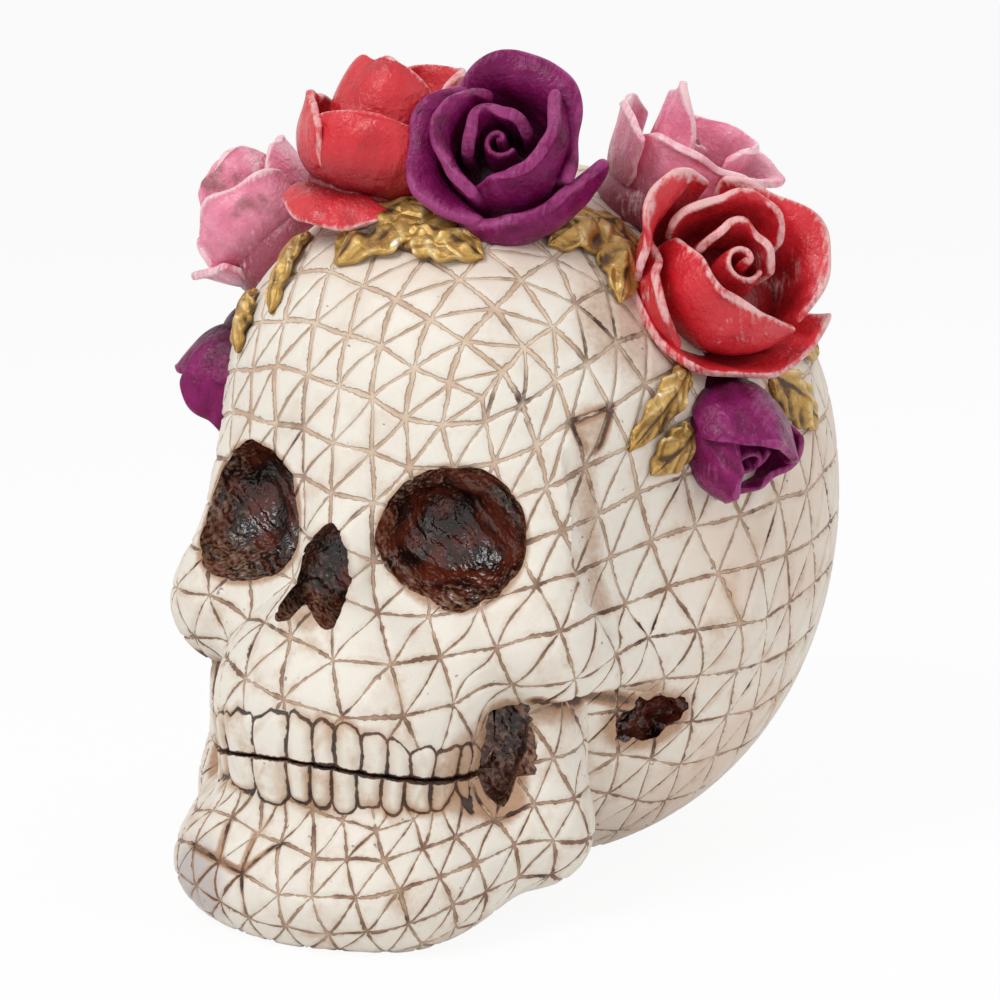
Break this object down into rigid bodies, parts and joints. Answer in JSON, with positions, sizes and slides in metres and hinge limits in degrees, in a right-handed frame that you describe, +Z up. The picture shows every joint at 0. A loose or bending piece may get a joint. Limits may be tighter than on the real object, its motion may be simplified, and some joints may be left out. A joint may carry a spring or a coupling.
{
  "type": "sugar skull",
  "caption": "Cast skull decoration carved with a triangle net, its lower jaw set below the teeth, crowned with painted roses, buds and gilded leaves; stands on a flat base.",
  "frame": {"origin": "on the flat base under the braincase, in the skull's plane of symmetry", "axes": "+Z up out of the base, the face looks along -Y, the skull's own left side is +X"},
  "size_m": [0.1231, 0.1506, 0.1439],
  "materials": {
    "bone": "cream matt paint on cast resin, carved grooves rubbed with brown antiquing",
    "purple_petal": "satin purple paint with magenta rims",
    "red_petal": "satin red paint, rims dry-brushed with pinkish white",
    "pink_petal": "satin pink paint with brown antiquing",
    "gold_leaf": "metallic gold paint over dark creases"
  },
  "bodies": {
    "root": {"cranium": "bone", "lower_jaw": "bone", "crown_rose_core": "purple_petal", "crown_rose_inner_top": "purple_petal", "crown_rose_inner_right": "purple_petal", "crown_rose_inner_left": "purple_petal", "crown_rose_outer_left": "purple_petal", "crown_rose_outer_top": "purple_petal", "crown_rose_lower_lip": "purple_petal", "right_red_rose_core": "red_petal", "right_red_rose_inner_top": "red_petal", "right_red_rose_inner_front": "red_petal", "right_red_rose_back_top": "red_petal", "right_red_rose_folded": "red_petal", "right_red_rose_side_left": "red_petal", "right_red_rose_outer_right": "red_petal", "right_red_rose_lower_lip": "red_petal", "left_red_rose_core": "red_petal", "left_red_rose_top_fold": "red_petal", "left_red_rose_top_back": "red_petal", "left_red_rose_front": "red_petal", "left_red_rose_side": "red_petal", "left_red_rose_back": "red_petal", "left_red_rose_lower_lip": "red_petal", "right_pink_rose_core": "pink_petal", "right_pink_rose_pointed": "pink_petal", "right_pink_rose_inner_right": "pink_petal", "right_pink_rose_front": "pink_petal", "right_pink_rose_left": "pink_petal", "right_pink_rose_right": "pink_petal", "right_pink_rose_lower_lip": "pink_petal", "right_bud_core": "purple_petal", "right_bud_upper": "purple_petal", "right_bud_left": "purple_petal", "right_bud_lower": "purple_petal", "left_pink_rose_core": "pink_petal", "left_pink_rose_inner_front": "pink_petal", "left_pink_rose_inner_back": "pink_petal", "left_pink_rose_front": "pink_petal", "left_pink_rose_upper": "pink_petal", "left_pink_rose_left_lip": "pink_petal", "left_pink_rose_lower_lip": "pink_petal", "left_bud_core": "purple_petal", "left_bud_upper": "purple_petal", "left_bud_left": "purple_petal", "left_bud_right": "purple_petal", "front_leaf_left": "gold_leaf", "front_leaf_middle": "gold_leaf", "brow_leaf": "gold_leaf", "temple_leaf_left": "gold_leaf", "front_leaf_right": "gold_leaf", "front_leaf_lower": "gold_leaf", "temple_leaf_slender": "gold_leaf", "temple_leaf_folded": "gold_leaf", "side_leaf_upper": "gold_leaf", "side_leaf_lower": "gold_leaf", "back_leaf_right": "gold_leaf", "back_leaf_middle": "gold_leaf", "back_leaf_left": "gold_leaf"}
  },
  "joints": []
}
